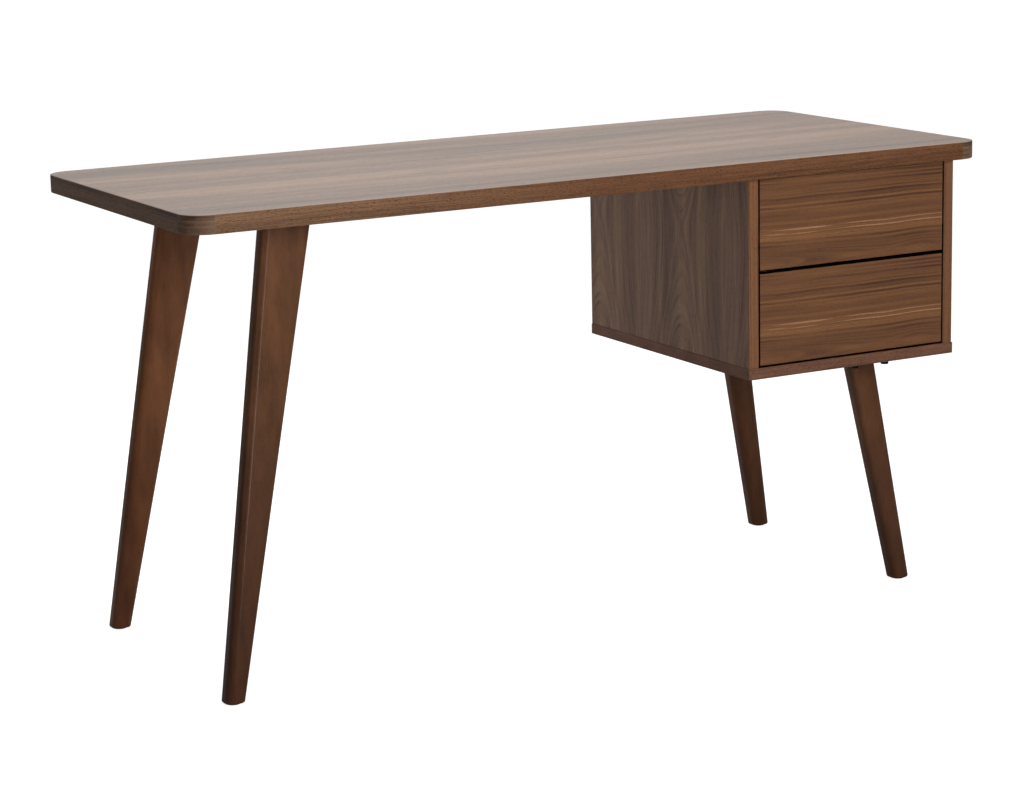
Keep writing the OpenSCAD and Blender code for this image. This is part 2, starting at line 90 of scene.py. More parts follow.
camera = bpy.data.objects.new("camera", bpy.data.cameras.new("camera"))
camera.data.lens = LENS_MM
camera.data.sensor_width = 36.0
camera.data.clip_end = 60.0
camera.matrix_world = (
    Matrix.Translation(CAMERA_AT)
    @ Matrix.Rotation(CAMERA_TURN, 4, "Z")
    @ Matrix.Rotation(math.pi / 2 - CAMERA_LIFT, 4, "X")
    @ Matrix.Rotation(CAMERA_ROLL, 4, "Z")
)
bpy.context.scene.collection.objects.link(camera)
bpy.context.scene.camera = camera
print("camera", tuple(round(v, 3) for v in CAMERA_AT), "lens", LENS_MM, "mm")

# %% [markdown]
# ## Two small tools for materials
# Colours are written as sRGB hex values, as a colour picker shows them. Shaders work in linear
# light, so one function converts them. A second function adds a node, sets it up and links it,
# which keeps each material down to what it says about the real surface.

# %% Colour and node helpers
def linear(hex_colour):
    """sRGB to linear: values under 0.04045 are divided by 12.92, the rest follow the 2.4 power."""
    srgb = np.array([int(hex_colour[i:i + 2], 16) for i in (1, 3, 5)]) / 255
    curve = np.where(srgb <= 0.04045, srgb / 12.92, ((srgb + 0.055) / 1.055) ** 2.4)
    return (*curve.tolist(), 1.0)


def add(tree, kind, settings=None, **sockets):
    """Adds one node. Settings are its properties; sockets are inputs by name, where an
    underscore stands for a space and in0, in1 are numbers of inputs: values or links."""
    node = tree.nodes.new(kind)
    for key, value in (settings or {}).items():
        setattr(node, key, value)
    for key, value in sockets.items():
        is_number = key.startswith("in") and key[2:].isdigit()
        socket = node.inputs[int(key[2:]) if is_number else key.replace("_", " ")]
        if isinstance(value, bpy.types.NodeSocket):
            tree.links.new(value, socket)
        else:
            socket.default_value = value
    return node


def start(name):
    """A new material with its Principled BSDF: returns the material, its tree, the shader."""
    material = bpy.data.materials.new(name)
    material.use_nodes = True
    return material, material.node_tree, material.node_tree.nodes["Principled BSDF"]


def ramp(tree, factor, stops):
    """A Color Ramp through (position, hex colour) stops."""
    node = add(tree, "ShaderNodeValToRGB", Fac=factor)
    elements = node.color_ramp.elements
    for index, (position, colour) in enumerate(stops):
        element = elements[index] if index < 2 else elements.new(position)
        element.position = position
        element.color = linear(colour)
    return node.outputs["Color"]


CUT_EDGE = 0.6    # a face whose normal has less than this along the thickness is a cut edge
print("walnut in linear light", [round(v, 3) for v in linear("#6d4c36")])

# %% [markdown]
# ## Walnut veneer
# Veneer is a slice through a log. The log's growth rings are nested tubes along its pith, and
# where a flat slice cuts them they show as long lines, or as nested arches where the slice
# leans against the tubes. So the figure isn't painted: it is worked out from how far each
# point of the board is from a pith line that leans and wanders. Noise in one dimension, read
# along that distance, gives rings of uneven width. Three more things make it walnut: broad
# streaks of grey and brown heartwood, fine fibres, and open pores, which show as short dark
# dashes along the grain. Real pores are about 0.2 mm wide, which is too fine to see here, so
# they are drawn 0.5 mm wide. Where a sharp edge has been sanded and rubbed, the boards carry
# an attribute named arris, and the stain is a little lighter there.

# %% Veneer material
def grain_turn(along, across):
    """The rotation that puts the grain on X and the width of the sheet on Y: its rows are the
    two given axes and their cross product."""
    axes = {"x": Vector((1, 0, 0)), "y": Vector((0, 1, 0)), "z": Vector((0, 0, 1))}
    first, second = axes[along], axes[across]
    return Matrix((first, second, first.cross(second))).to_euler()


TONE_STOPS = (0.25, 0.44, 0.62, 0.9)    # tones of the four colours, pale to dark
# The two thin pale lines on the drawer fronts are painted sheen: their distance from their ring
# and their half width.
SHEEN_LINE_GAP, SHEEN_LINE_WIDE = 3.2 * MM, 2.2 * MM    # pale lines: distance from their ring, half width


def veneer(name, along, across, colours, centre=(0, 0, 0), pith=0.03, lean=0.0, bow=0.0,
           wander=0.012, wave=1.3, ring=0.006, bands=0.4, lines=0.25, streaks=0.3, fibre=0.2,
           pores=0.2, pore_size=(0.008, 0.0006), leaf=0.0, mottle=0.0, painted_sheen_ring=None,
           rough=0.42, coat=0.0, coat_rough=0.28, shine=0.5, painted_shade_edges=None, inside=None,
           change=None, seed=0.0):
    """Ring distance = length of (across + wander, depth of the pith), where the depth is pith
    + lean x along + bow x along squared + wander. Noise read along distance / ring gives broad
    bands; where a finer one crosses its middle there is a thin dark line. Tone = bands + lines
    + streaks + fibres + blotches + pores, and a ramp of four colours, pale to dark, turns it to
    colour. leaf is the width at which the same leaf starts again, mottle the strength of the
    blotches that stain leaves, painted_shade_edges the near-black of the cut edges, which is
    painted shade, inside the middle and half size of a room coloured near-black as painted
    shade, and change a tint that darkens the wood from one place along its grain to another:
    painted shade towards the legs' feet, and partly painted shade along the long edging."""
    material, tree, shader = start(name)

    def maths(operation, a, b=0.0, c=0.0):
        return add(tree, "ShaderNodeMath", {"operation": operation}, in0=a, in1=b,
                   in2=c).outputs[0]

    coords = add(tree, "ShaderNodeTexCoord").outputs["Object"]
    centred = add(tree, "ShaderNodeVectorMath", {"operation": "SUBTRACT"}, in0=coords,
                  in1=centre).outputs[0]
    sheet = add(tree, "ShaderNodeMapping", Vector=centred,
                Rotation=grain_turn(along, across)).outputs[0]
    place = add(tree, "ShaderNodeSeparateXYZ", Vector=sheet).outputs
    width = place["Y"]
    if leaf:
        width = maths("SUBTRACT", maths("FLOORED_MODULO", maths("ADD", width, leaf / 2), leaf),
                      leaf / 2)
        sheet = add(tree, "ShaderNodeCombineXYZ", X=place["X"], Y=width,
                    Z=place["Z"]).outputs[0]

    def stretched(long, wide, detail, offset):
        """Noise with cells that are long x wide metres, 0 to 1 with its middle at 0.5."""
        squeezed = add(tree, "ShaderNodeMapping", Vector=sheet,
                       Scale=(1 / long, 1 / wide, 1 / wide),
                       Location=(offset + seed, offset, -seed)).outputs[0]
        return add(tree, "ShaderNodeTexNoise", Vector=squeezed, Scale=1.0, Detail=detail,
                   Roughness=0.55).outputs["Fac"]

    def along_rings(count, scale, detail):
        """One-dimensional noise, read along the ring count."""
        return add(tree, "ShaderNodeTexNoise", {"noise_dimensions": "1D"}, W=count,
                   Scale=scale, Detail=detail, Roughness=0.6).outputs["Fac"]

    # The wandering pith and the distance from it
    drift = maths("MULTIPLY", maths("SUBTRACT", stretched(1 / wave, 0.2, 2.0, 3.1), 0.5),
                  2 * wander)
    sink = maths("MULTIPLY", maths("SUBTRACT", stretched(0.6 / wave, 0.35, 1.0, 9.4), 0.5),
                 2.5 * wander)
    slope = maths("MULTIPLY_ADD", place["X"], bow, lean)
    depth = maths("ADD", maths("MULTIPLY_ADD", place["X"], slope, pith), sink)
    distance = add(tree, "ShaderNodeVectorMath", {"operation": "LENGTH"}, in0=add(
        tree, "ShaderNodeCombineXYZ", Y=maths("ADD", width, drift),
        Z=depth).outputs[0]).outputs["Value"]
    count = maths("MULTIPLY_ADD", distance, 1 / ring, seed)

    # Bands, thin lines that fade in and out, streaks, fibres and pores
    band = along_rings(count, 0.4, 3.0)
    crossing = maths("ABSOLUTE", maths("SUBTRACT", along_rings(count, 1.0, 1.0), 0.5))
    line = maths("SUBTRACT", 1.0, maths("MULTIPLY", crossing, 12.0))
    line = maths("MULTIPLY", add(tree, "ShaderNodeClamp", Value=line).outputs[0],
                 add(tree, "ShaderNodeMapRange", Value=stretched(0.22, 0.022, 1.0, 6.7),
                     From_Min=0.35, From_Max=0.65).outputs[0])
    streak = stretched(1.6, 0.045, 2.0, 1.9)
    strand = stretched(0.05, 0.0014, 2.0, 4.3)
    pore = add(tree, "ShaderNodeMapRange", Value=stretched(*pore_size, 1.0, 7.7),
               From_Min=0.56, From_Max=0.68).outputs[0]
    tone = maths("MULTIPLY_ADD", maths("SUBTRACT", band, 0.5), bands, 0.5)
    for part, weight in ((line, lines), (pore, pores)):
        tone = maths("MULTIPLY_ADD", part, weight, tone)
    parts = [(streak, streaks), (strand, fibre)]
    if mottle:
        parts.append((stretched(0.07, 0.024, 2.0, 8.8), mottle))
    for part, weight in parts:
        tone = maths("MULTIPLY_ADD", maths("SUBTRACT", part, 0.5), weight, tone)
    # Two thin pale lines, one on each side of one ring and broken here and there: painted sheen.
    if painted_sheen_ring:
        beside = maths("ABSOLUTE", maths("SUBTRACT", distance, painted_sheen_ring))
        off = maths("ABSOLUTE", maths("SUBTRACT", beside, SHEEN_LINE_GAP))
        near = add(tree, "ShaderNodeMapRange", {"interpolation_type": "SMOOTHSTEP"}, Value=off,
                   From_Max=SHEEN_LINE_WIDE, To_Min=1.0, To_Max=0.0).outputs[0]
        broken = add(tree, "ShaderNodeMapRange", Value=stretched(0.12, 0.004, 1.0, 2.2),
                     From_Min=0.36, From_Max=0.6).outputs[0]
        tone = maths("MULTIPLY_ADD", maths("MULTIPLY", near, broken), -0.38, tone)
    colour = ramp(tree, tone, list(zip(TONE_STOPS, colours)))

    # A tint multiplied in between two places along the grain: painted shade towards the legs'
    # feet, and partly painted shade along the long edging.
    if change:
        begins, ends, shade_tint = change
        share = add(tree, "ShaderNodeMapRange", {"interpolation_type": "SMOOTHSTEP"},
                    Value=maths("MULTIPLY_ADD", maths("SUBTRACT", streak, 0.5), 0.3,
                                place["X"]), From_Min=begins, From_Max=ends).outputs[0]
        colour = add(tree, "ShaderNodeMix", {"data_type": "RGBA", "blend_type": "MULTIPLY"},
                     Factor=share, in6=colour, in7=linear(shade_tint)).outputs[2]

    # Rubbed edges are lighter
    rubbed = add(tree, "ShaderNodeAttribute", {"attribute_name": "arris"}).outputs["Fac"]
    colour = add(tree, "ShaderNodeMix", {"data_type": "RGBA", "blend_type": "SCREEN"},
                 Factor=maths("MULTIPLY", rubbed, 0.3), in6=colour,
                 in7=linear("#4a3020")).outputs[2]
    # The cut edges are coloured near-black: painted shade in the gaps round the fronts.
    if painted_shade_edges:
        normal = add(tree, "ShaderNodeTexCoord").outputs["Normal"]
        through = next(axis for axis in "xyz" if axis not in (along, across))
        facing = add(tree, "ShaderNodeSeparateXYZ", Vector=normal).outputs[through.upper()]
        colour = add(tree, "ShaderNodeMix", {"data_type": "RGBA"}, Factor=maths(
            "LESS_THAN", maths("ABSOLUTE", facing), CUT_EDGE), in6=colour,
            in7=linear(painted_shade_edges)).outputs[2]
    # The inside of the cabinet is coloured near-black: painted shade in the gaps round the fronts.
    if inside:
        off = add(tree, "ShaderNodeVectorMath", {"operation": "SUBTRACT"}, in0=coords,
                  in1=inside[0]).outputs[0]
        off = add(tree, "ShaderNodeVectorMath", {"operation": "ABSOLUTE"}, in0=off).outputs[0]
        off = add(tree, "ShaderNodeSeparateXYZ", Vector=add(
            tree, "ShaderNodeVectorMath", {"operation": "SUBTRACT"}, in0=off,
            in1=inside[1]).outputs[0]).outputs
        within = maths("LESS_THAN", maths("MAXIMUM", maths("MAXIMUM", off[0], off[1]), off[2]),
                       0.0)
        colour = add(tree, "ShaderNodeMix", {"data_type": "RGBA"}, Factor=within, in6=colour,
                     in7=linear(GAP_SHADE_BLACK)).outputs[2]
    tree.links.new(colour, shader.inputs["Base Color"])

    # Lacquer lies thinner over the pores, so they are rougher and a hair deeper
    tree.links.new(maths("MULTIPLY_ADD", pore, 0.12, maths("MULTIPLY_ADD", strand, 0.10,
                                                            rough - 0.05)),
                   shader.inputs["Roughness"])
    height = maths("MULTIPLY_ADD", pore, -0.6, maths("MULTIPLY", strand, 0.5))
    bump = add(tree, "ShaderNodeBump", Height=height, Strength=0.2, Distance=0.12 * MM)
    tree.links.new(bump.outputs[0], shader.inputs["Normal"])
    shader.inputs["IOR"].default_value = 1.5
    shader.inputs["Specular IOR Level"].default_value = shine
    shader.inputs["Coat Weight"].default_value = coat
    shader.inputs["Coat Roughness"].default_value = coat_rough
    return material


# %% [markdown]
# ## The desk's veneers
# The top is straight-grained with long streaks. The edging is cut from plainer strips, and the
# bent strips on the corners and the strips on the ends have a darker palette. The cabinet's
# sides have upright arches, the drawer fronts a level, wavy figure with two thin pale lines of
# painted sheen. Both fronts were cut from leaves that lay next to each other in the log, so they
# show the same figure: the two materials differ only in the point that they are centred on.
# The strip on the right side's front edge has a darker palette than the left one's, and the
# long edging turns a little greyer and darker from its left end to its middle, partly its own
# tone and partly painted shade.
# The fronts' cut edges and the inside of the cabinet are coloured near-black: painted shade,
# which turns the gaps round the fronts into black lines.

# %% Desk veneers
def middle(node):
    """The middle of a node's box, in metres."""
    low, high = corners(node)
    return ((low + high) / 2).tolist()


WALNUT_TOP = ("#a78266", "#8a6950", "#735843", "#4c382b")
WALNUT_EDGE = ("#9e7756", "#846146", "#6d4f39", "#422f24")
# A darker palette, for the strips on the ends and the bent strips on the corners.
WALNUT_CORNER = ("#967057", "#7c5f4b", "#624939", "#38281f")
WALNUT_SIDE = ("#8f6b52", "#785943", "#634837", "#412f23")
WALNUT_FRONT = ("#936c50", "#714c2f", "#5c3d29", "#3f281d")
# The right strip's palette is darker than the left one's.
WALNUT_STILE = {"left": ("#9b6d47", "#835b3b", "#6a462d", "#472d1f"),
                "right": ("#885f3f", "#724d34", "#5e3e29", "#3f2a1c")}
WALNUT_BASE = ("#865b46", "#704c39", "#593c2e", "#38241a")
# Near-black for the fronts' cut edges and the cabinet's inside: painted shade in the gaps.
GAP_SHADE_BLACK = "#110c09"

room_low, room_high = corners("front_rail")[0], corners("rear_rail")[1]
room_low[1] = corners("cabinet_left_side")[0][1]
room_low[2] = corners("cabinet_bottom")[1][2]
room_high[1] = corners("cabinet_back")[0][1]
ROOM = ((room_low + room_high) / 2, (room_high - room_low) / 2 + 0.1 * MM)

top_veneer = veneer("walnut_veneer_top", "x", "y", WALNUT_TOP, pith=0.9, wander=0.03,
                    wave=0.5, ring=0.011, bands=0.55, lines=0.16, streaks=0.7, fibre=0.2,
                    pores=0.14, rough=0.34, seed=2.0)
# The long edging darkens from its left end to its middle, partly its own tone and partly painted
# shade.
edge_veneer = veneer("walnut_edging_long", "x", "z", WALNUT_EDGE, pith=0.12, ring=0.005,
                     wander=0.006, bands=0.25, lines=0.15, fibre=0.5, pores=0.36,
                     pore_size=(0.006, 0.0008), rough=0.5, shine=0.18, seed=5.0,
                     centre=(0, 0, 0.6), change=(-0.48, 0.08, "#d4c4ba"))
end_veneer = veneer("walnut_edging_end", "y", "z", WALNUT_CORNER, pith=0.12, ring=0.004,
                    wander=0.004, bands=0.3, lines=0.3, pores=0.2, rough=0.5, shine=0.3,
                    seed=8.0, centre=(0, 0, 0.6))
corner_veneer = veneer("walnut_edging_bent", "x", "z", WALNUT_CORNER, pith=0.2, ring=0.002,
                       wander=0.001, bands=0.4, lines=0.5, pores=0.15, rough=0.5, shine=0.3,
                       seed=3.0)
UPRIGHT = dict(pith=0.062, lean=0.05, bow=-1.6, ring=0.0055, wander=0.014, wave=2.6, bands=0.5,
               lines=0.26, streaks=0.8, fibre=0.3, pores=0.15, leaf=0.262, rough=0.45,
               seed=6.0, inside=ROOM)
side_veneer = veneer("walnut_veneer_side", "z", "y", WALNUT_SIDE, centre=(0, -0.085, 0.57),
                     **UPRIGHT)
base_veneer = veneer("walnut_veneer_base", "x", "z", WALNUT_BASE, pith=0.09, ring=0.004,
                     wander=0.004, bands=0.25, lines=0.2, fibre=0.5, pores=0.4, rough=0.5,
                     pore_size=(0.006, 0.0008), shine=0.3, seed=4.0, centre=(0, 0, 0.35),
                     inside=ROOM)
rear_veneer = veneer("walnut_veneer_rear", "z", "x", WALNUT_SIDE, centre=(0.45, 0.2, 0.57),
                     **UPRIGHT)
stile_veneer = {side: veneer("walnut_edging_stile_" + side, "z", "x", colours, pith=0.15,
                             ring=0.005, wander=0.004, bands=0.3, lines=0.2, fibre=0.2,
                             rough=0.5, shine=0.3, seed=9.0, centre=(0.1, 0, 0))
                for side, colours in WALNUT_STILE.items()}
front_veneer = {}
for level in ("upper", "lower"):
    at = middle(level + "_drawer_front")
    # The fronts carry two thin pale lines of painted sheen.
    front_veneer[level] = veneer(
        "walnut_veneer_" + level + "_front", "x", "z", WALNUT_FRONT, pith=0.02, lean=0.03,
        centre=(at[0] + 0.04, at[1], at[2] - 0.062), ring=0.006, wander=0.008, wave=3.0,
        bands=0.45, lines=0.36, streaks=0.3, fibre=0.22, pores=0.14, painted_sheen_ring=0.052,
        rough=0.5, shine=0.25, painted_shade_edges=GAP_SHADE_BLACK, seed=7.0)
print("veneers", [m.name for m in bpy.data.materials if m.name.startswith("walnut")])

# %% [markdown]
# ## Shapes: rings joined into a skin
# Every wooden piece here is a stack of closed rings: a board is the outline of its section
# carried from one face to the other, and shrinking a little over the last half millimetre,
# which is what rounds its edges. A grid of points holds the rings, one row each. Rows are
# joined by quads and the two ends are closed by flat faces. Bevel modifiers could round the
# edges too, but here the rounding is known exactly, so the same formula also marks how far
# each point is round an edge, and the veneer reads that mark.

# %% Skins, boards and strips
def skin(name, rings, material, body, stands_for=(), arris=None):
    """Joins an array of closed rings (rows, points, 3) by quads, closes both ends, merges
    doubles and turns the faces outwards. A fourth dimension in front holds several such
    solids. Flat faces keep flat shading by weighted normals."""
    rings = rings.reshape((-1,) + rings.shape[-3:])
    index = np.arange(rings.size // 3).reshape(rings.shape[:3])
    lower, upper = index[:, :-1], index[:, 1:]
    quads = np.stack([lower, np.roll(lower, -1, 2), np.roll(upper, -1, 2), upper], -1)
    faces = (quads.reshape(-1, 4).tolist() + index[:, 0, ::-1].tolist()
             + index[:, -1].tolist())
    mesh = bpy.data.meshes.new(name)
    mesh.from_pydata(rings.reshape(-1, 3), [], faces)
    worn = mesh.attributes.new("arris", "FLOAT", "POINT")
    worn.data.foreach_set("value", np.zeros(index.size) if arris is None
                          else np.ascontiguousarray(arris, dtype=float).ravel())
    work = bmesh.new()
    work.from_mesh(mesh)
    bmesh.ops.remove_doubles(work, verts=work.verts, dist=2e-6)
    bmesh.ops.recalc_face_normals(work, faces=work.faces)
    work.to_mesh(mesh)
    work.free()
    mesh.shade_smooth()
    mesh.set_sharp_from_angle(angle=math.radians(38))
    mesh.materials.append(material)
    piece = bpy.data.objects.new(name, mesh)
    bpy.context.scene.collection.objects.link(piece)
    shading = piece.modifiers.new("flat faces stay flat", "WEIGHTED_NORMAL")
    shading.keep_sharp = True
    shading.weight = 100
    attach(piece, body)
    if stands_for:
        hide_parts(*stands_for)
    return piece


def board(name, low, high, edge, material, body, stands_for=(), slot=None, steps=3):
    """A box with edges of radius edge: point = sign x (half size - edge) + edge x n, where n
    runs over a sphere in which each quarter turn ends where the next begins."""
    low, high = np.array(low), np.array(high)
    quarter = np.linspace(0, math.pi / 2, steps + 1)
    turn = (np.arange(4)[:, None] * math.pi / 2 + quarter).ravel()
    tilt = np.concatenate([quarter, quarter + math.pi / 2])
    tilt_grid, turn_grid = np.meshgrid(tilt, turn, indexing="ij")
    n = np.stack([np.sin(tilt_grid) * np.cos(turn_grid), np.sin(tilt_grid) * np.sin(turn_grid),
                  np.cos(tilt_grid)], -1)
    sign = np.stack(np.broadcast_arrays(
        np.repeat([1, -1, -1, 1], steps + 1)[None, :],
        np.repeat([1, 1, -1, -1], steps + 1)[None, :],
        np.repeat([1, -1], steps + 1)[:, None]), -1)
    points = (low + high) / 2 + sign * ((high - low) / 2 - edge) + edge * n
    worn = (1 - np.abs(n).max(-1)) / (1 - math.sqrt(0.5))
    return skin(name, points, material, body, stands_for, np.clip(worn, 0, 1))


def strip_section(thick, tall, edge, steps=4):
    """Section of an edging strip as (outward, upward) pairs and how round each one is: flat at
    the back, its two outer corners rounded with radius edge."""
    arc = np.linspace(-math.pi / 2, 0, steps + 1)
    lower = np.stack([thick - edge + edge * np.cos(arc), edge + edge * np.sin(arc)], -1)
    upper = lower[::-1] * (1, -1) + (0, tall)
    worn = np.sin(2 * (arc + math.pi / 2))
    outline = np.concatenate([[(0, 0)], lower, upper, [(0, tall)]])
    return outline, np.concatenate([[0], worn, worn[::-1], [0]])


def strip(name, path, outward, bottom, section, material, body, stands_for=()):
    """Carries a strip section along a path: point = path + outward x first + up x second."""
    outline, worn = section
    path, outward = np.array(path, dtype=float), np.array(outward, dtype=float)
    flat = path[:, None, :] + outward[:, None, :] * outline[None, :, :1]
    up = np.broadcast_to(bottom + outline[None, :, 1:], flat.shape[:2] + (1,))
    rings = np.concatenate([flat, up], -1)
    return skin(name, rings, material, body, stands_for,
                np.broadcast_to(worn, rings.shape[:2]))


# %% [markdown]
# ## The desktop
# The board is cut 1.5 mm small all round, and strips of veneer edging bring it to size: four
# straight ones, and four that are bent round the corners. Their outer edges are eased with a
# fine file after gluing, which leaves a light line round the top. The board itself is one
# skin: its outline is a rectangle with round corners, and its rings go from the middle of the
# top out to the edge, down, and back to the middle of the underside.

# %% Desktop
top_low, top_high = corners("desktop_panel")
edging_low, edging_high = corners("front_edging")
half = np.array(cad_box[1][:2])
EDGING = edging_high[1] - edging_low[1]
CORNER_R = half[0] - edging_high[0]
top_tall = top_high[2] - top_low[2]


def round_outline(half_x, half_y, radius, steps=24):
    """Rectangle with round corners: sign x (half size - radius) + radius x direction."""
    turn = (np.arange(4)[:, None] * math.pi / 2 + np.linspace(0, math.pi / 2, steps + 1))
    direction = np.stack([np.cos(turn), np.sin(turn)], -1).reshape(-1, 2)
    sign = np.repeat([(1, 1), (-1, 1), (-1, -1), (1, -1)], steps + 1, axis=0)
    return sign * (np.array([half_x, half_y]) - radius) + radius * direction


outline = round_outline(top_high[0], top_high[1], CORNER_R - EDGING)
levels = [(0.5, top_high[2]), (1.0, top_high[2]), (1.0, top_low[2]), (0.5, top_low[2])]
rings = np.stack([np.column_stack([outline * share, np.full(len(outline), z)])
                  for share, z in levels])
skin("desktop_board", rings, top_veneer, "frame", ["desktop_panel"])

EASED = 0.9 * MM
edging = strip_section(EDGING, top_tall, EASED)
straight = half - CORNER_R
for name, material, across, spot in (
        ("front_edging", edge_veneer, 1, -1), ("back_edging", edge_veneer, 1, 1),
        ("left_end_edging", end_veneer, 0, -1), ("right_end_edging", end_veneer, 0, 1)):
    face = spot * (half[across] - EDGING)
    reach = straight[1 - across]
    ends = [(e, face) if across else (face, e) for e in (-reach, reach)]
    out = (0, spot) if across else (spot, 0)
    strip("eased_" + name, ends, [out, out], top_low[2], edging, material, "frame", [name])

for number, (sx, sy) in enumerate(((1, 1), (-1, 1), (-1, -1), (1, -1))):
    turn = np.linspace(0, math.pi / 2, 25)
    out = np.column_stack([sx * np.cos(turn), sy * np.sin(turn)])
    path = straight * (sx, sy) + out * (CORNER_R - EDGING)
    strip("bent_edging_%d" % (number + 1), path, out, top_low[2], edging, corner_veneer,
          "frame", ["corner_edgings"])
print("desktop", (top_high - top_low).round(4), "corner radius", round(CORNER_R, 4))

# %% [markdown]
# ## The cabinet
# The two sides stand on the bottom board, which sticks out a little, and the back is let in
# between them. The front edges carry veneer strips. The bottom board is rounded more than the
# others, because knees and vacuum cleaners meet it.

# %% Cabinet boards
def boxed(name, node, edge, material, body, slot):
    """A board with rounded edges in the place of a plain one."""
    return board(name, *corners(node), edge, material, body, [node], slot)


boxed("cabinet_side_l", "cabinet_left_side", 0.4 * MM, side_veneer, "frame", "walnut_side")
boxed("cabinet_side_r", "cabinet_right_side", 0.4 * MM, side_veneer, "frame", "walnut_side")
boxed("cabinet_base", "cabinet_bottom", 1.2 * MM, base_veneer, "frame", "walnut_bottom")
boxed("cabinet_rear", "cabinet_back", 0.4 * MM, rear_veneer, "frame", "walnut_side")

base_low, base_high = corners("cabinet_bottom")
side_low, side_high = corners("cabinet_left_side")
other_low, other_high = corners("cabinet_right_side")
strips_low = corners("cabinet_edgings")[0]
for side, low, high in (("left", side_low, side_high), ("right", other_low, other_high)):
    board("stile_" + side, (low[0], low[1] - EDGING, low[2]), (high[0], low[1], high[2]),
          0.4 * MM, stile_veneer[side], "frame", ["cabinet_edgings"], "walnut_edge")
board("base_edging", (base_low[0], strips_low[1], base_low[2]),
      (base_high[0], base_low[1], base_high[2]), 0.7 * MM, base_veneer, "frame",
      ["cabinet_edgings"], "walnut_edge")
print("cabinet", (base_high - base_low).round(4))

# %% Drawer fronts
for level in ("upper", "lower"):
    boxed(level + "_front", level + "_drawer_front", 0.6 * MM, front_veneer[level],
          level + "_drawer", "walnut_front")

# %% [markdown]
# ## The legs
# Each leg is cut from a rectangular blank: wide and flat at the top, nearly square at the
# foot, with round long edges, leaning outwards. A section is a rectangle with round corners,
# and the leg is that section carried down a straight line while it gets narrower. The last
# three millimetres are eased, so that the foot doesn't chip.

# %% Leg shapes
LEG_THICK = 32 * MM
LEG_EDGE = 12 * MM
FOOT_WIDE = 33 * MM
FOOT_EASE = 2 * MM
FOOT_RISE = 3 * MM


def leg_shape(name, node, wide, outward, material):
    """Rings at heights from foot to top. Centre and width change in a straight line between
    the foot and the top; over the foot's last rise the section shrinks by a quarter circle."""
    low, high = corners(node)
    out_x, out_y = outward
    foot = [(low[0] + FOOT_WIDE / 2, high[0] - FOOT_WIDE / 2)[out_x > 0],
            (low[1] + LEG_THICK / 2, high[1] - LEG_THICK / 2)[out_y > 0]]
    top = [(high[0] - wide / 2, low[0] + wide / 2)[out_x > 0],
           (high[1] - LEG_THICK / 2, low[1] + LEG_THICK / 2)[out_y > 0]]
    ease = np.linspace(math.pi / 2, 0, 6)
    heights = np.concatenate([low[2] + FOOT_RISE * (1 - np.sin(ease)),
                              np.linspace(low[2] + FOOT_RISE, high[2], 14)[1:]])
    inset = np.concatenate([FOOT_EASE * (1 - np.cos(ease)), np.zeros(13)])
    share = np.clip((heights - low[2] - FOOT_RISE) / (high[2] - low[2] - FOOT_RISE), 0, 1)
    rings = []
    for z, shrink, t in zip(heights, inset, share):
        width = FOOT_WIDE + (wide - FOOT_WIDE) * t - 2 * shrink
        section = round_outline(width / 2, LEG_THICK / 2 - shrink, LEG_EDGE - shrink, 8)
        centre = np.array(foot) + (np.array(top) - foot) * t
        rings.append(np.column_stack([section + centre, np.full(len(section), z)]))
    return skin(name, np.stack(rings), material, "frame", [node])


# %% [markdown]
# ## Stained solid walnut
# The legs are solid and stained darker than the veneer. Each has a palette of its own, which
# paints light and shade: the back left one is lighter, painted light where the desktop shades
# it, and the right ones are a little darker, painted shade. Each also gets darker towards the
# foot, which is painted shade too.
# Stain hides most of the figure and leaves soft streaks and blotches along the leg, where the
# wood drank more or less of it. The lacquer is smooth and satin, so the long round edges carry
# a soft line of light.

# %% Leg material and legs
# The four palettes paint light and shade: the back left one is lighter where the desktop shades
# it, and the right ones are a little darker.
LEG_PALETTES_LIT_AND_SHADED = {"leg_front_left": ("#724930", "#623f27", "#51331f", "#382213"),
              "leg_back_left": ("#925f3c", "#7f5132", "#6b4329", "#492d1b"),
              "leg_front_right": ("#6c462d", "#5c3b25", "#4d301e", "#352013"),
              "leg_back_right": ("#704629", "#603b22", "#50301b", "#372011")}
LEG_WIDE = {"left": 80 * MM, "right": 52 * MM}
for side in ("left", "right"):
    for end in ("front", "back"):
        node = "leg_%s_%s" % (end, side)
        out = (-1 if side == "left" else 1, -1 if end == "front" else 1)
        # The tint along each leg darkens it towards the foot: painted shade.
        stain = veneer("stained_walnut_" + node, "z", "x", LEG_PALETTES_LIT_AND_SHADED[node], pith=0.2,
                       ring=0.012, centre=middle(node), wander=0.02, wave=1.0, bands=0.2,
                       lines=0.06, streaks=0.6, fibre=0.2, pores=0.1, mottle=0.45,
                       rough=0.42, shine=0.09, coat=0.3, coat_rough=0.22,
                       change=(0.3, -0.3, "#cdc2bc"), seed=11.0 + out[1])
        leg_shape("turned_" + node, node, LEG_WIDE[side], out, stain)

# %% [markdown]
# ## Birch plywood
# The drawers' boxes are 12 mm birch plywood. Its faces are pale with faint arches, and its
# cut edges show the plies: thin sheets whose grain runs lengthwise and crosswise by turns, so
# that every second one shows end grain and looks darker.

